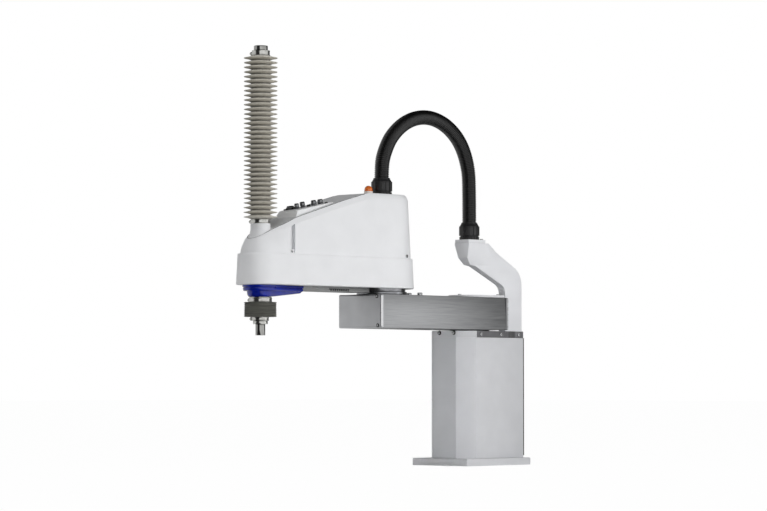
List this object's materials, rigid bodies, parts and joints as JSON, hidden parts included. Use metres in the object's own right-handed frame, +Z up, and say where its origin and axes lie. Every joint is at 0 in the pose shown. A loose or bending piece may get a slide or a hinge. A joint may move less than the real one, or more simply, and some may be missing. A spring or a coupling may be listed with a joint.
{
  "type": "scara robot",
  "caption": "Column-mounted four-axis selective-compliance arm: two horizontal swinging arms, a ball-screw spline shaft between bellows, rear cable duct and overhead hose",
  "frame": {"origin": "on the first swing axis, on the underside of the base plate, which is the middle of its four bolt holes", "axes": "+X along the stretched arms at rest, +Y the robot's left, +Z up along the swing axes"},
  "size_m": [1.0684, 0.2, 1.0895],
  "materials": {
    "white_paint": "satin white paint",
    "strip_grey": "satin dark grey",
    "screw_steel": "plated steel",
    "panel_black": "satin black",
    "plug_black": "matt black plastic",
    "gland_black": "matt black nylon",
    "hose_black": "black corrugated nylon",
    "brushed_aluminium": "long-grain brushed",
    "fitting_metal": "nickel plated",
    "motor_dark": "black paint",
    "gear_steel": "turned steel",
    "frame_aluminium": "machined",
    "belt_rubber": "toothed belt",
    "board_green": "solder mask",
    "lamp_base_clear": "clear to white lens base",
    "lamp_orange": "orange lens",
    "cover_blue": "moulded blue plastic",
    "bellows_grey": "warm grey coated bellows",
    "bellows_dark": "the same bellows, folded up",
    "clamp_steel": "bright stainless",
    "shaft_steel": "ground and polished"
  },
  "bodies": {
    "base": {"base_plate": "white_paint", "column_shell": "white_paint", "top_flange": "white_paint", "flange_strips": "strip_grey", "base_screws": "screw_steel", "flange_bolts": "screw_steel", "rear_panel": "panel_black", "rear_sockets": "plug_black", "duct_body": "white_paint", "duct_lid": "white_paint", "base_gland": "gland_black", "first_gear_unit": "gear_steel", "first_motor": "motor_dark"},
    "arm_1": {"first_output_flange": "brushed_aluminium", "arm_1_beam": "brushed_aluminium", "arm_1_rear_cap": "brushed_aluminium", "arm_1_front_cap": "brushed_aluminium", "arm_1_screws": "screw_steel", "hub_cover": "white_paint", "elbow_stop_bolts": "screw_steel", "elbow_lower_flange": "brushed_aluminium", "conduit_hose": "hose_black"},
    "arm_2": {"elbow_gear_unit": "brushed_aluminium", "elbow_motor": "motor_dark", "arm_2_housing": "white_paint", "arm_2_cover": "white_paint", "connector_panel": "white_paint", "signal_sockets": "plug_black", "air_fittings": "fitting_metal", "lamp_base": "lamp_base_clear", "lamp_dome": "lamp_orange", "arm_2_gland": "gland_black", "vent_cover": "strip_grey", "shaft_cover": "cover_blue", "cover_screws": "screw_steel", "spline_nut_bearing": "gear_steel", "ball_nut_bearing": "gear_steel", "u_belt": "belt_rubber", "z_belt": "belt_rubber", "drive_frame": "frame_aluminium", "z_motor": "motor_dark", "u_motor": "motor_dark", "circuit_board": "board_green", "upper_bellows_foot_clamp": "clamp_steel", "upper_bellows": "bellows_grey", "lower_bellows_seat": "clamp_steel", "lower_bellows_head_clamp": "clamp_steel", "lower_bellows": "bellows_dark"},
    "quill": {"upper_bellows_head_clamp": "clamp_steel", "head_collar": "clamp_steel", "lower_bellows_foot_clamp": "clamp_steel", "foot_collar": "clamp_steel"},
    "shaft": {"ball_screw_shaft": "shaft_steel", "top_cap": "shaft_steel", "shaft_collar": "shaft_steel"},
    "spline_nut": {"spline_nut": "gear_steel"},
    "ball_nut": {"ball_nut": "gear_steel"},
    "u_motor_pulley": {"u_motor_pulley": "gear_steel"},
    "z_motor_pulley": {"z_motor_pulley": "gear_steel"}
  },
  "joints": [
    {"name": "shoulder_turn", "type": "hinge", "parent": "base", "child": "arm_1", "pos_m": [0, 0, 0.367], "axis": [0, 0, 1], "range_deg": [-132, 132]},
    {"name": "elbow_turn", "type": "hinge", "parent": "arm_1", "child": "arm_2", "pos_m": [0.35, 0, 0.467], "axis": [0, 0, -1], "range_deg": [-120, 120]},
    {"name": "shaft_lift", "type": "slide", "parent": "arm_2", "child": "quill", "axis": [0, 0, -1], "range_m": [0, 0.39], "deforming": ["upper_bellows", "lower_bellows"]},
    {"name": "shaft_turn", "type": "hinge", "parent": "quill", "child": "shaft", "pos_m": [0.8, 0, 0.36], "axis": [0, 0, 1], "range_deg": [-360, 360]},
    {"name": "ball_nut_turn", "type": "hinge", "parent": "arm_2", "child": "ball_nut", "pos_m": [0.8, 0, 0.53], "axis": [0, 0, 1], "range_deg": [-20, 3600]},
    {"name": "z_pulley_turn", "type": "hinge", "parent": "arm_2", "child": "z_motor_pulley", "pos_m": [0.56, 0, 0.53], "axis": [0, 0, 1], "range_deg": [-40, 7200]},
    {"name": "spline_nut_turn", "type": "hinge", "parent": "arm_2", "child": "spline_nut", "pos_m": [0.8, 0, 0.49], "axis": [0, 0, 1], "range_deg": [-370, 370]},
    {"name": "u_pulley_turn", "type": "hinge", "parent": "arm_2", "child": "u_motor_pulley", "pos_m": [0.655, 0, 0.49], "axis": [0, 0, 1], "range_deg": [-740, 740]}
  ],
  "couplings": [
    {"joint": "ball_nut_turn", "follows": "shaft_lift", "rad_per_m": 157.08},
    {"joint": "z_pulley_turn", "follows": "shaft_lift", "rad_per_m": 314.16},
    {"joint": "spline_nut_turn", "follows": "shaft_turn", "ratio": 1},
    {"joint": "u_pulley_turn", "follows": "shaft_turn", "ratio": 2}
  ]
}
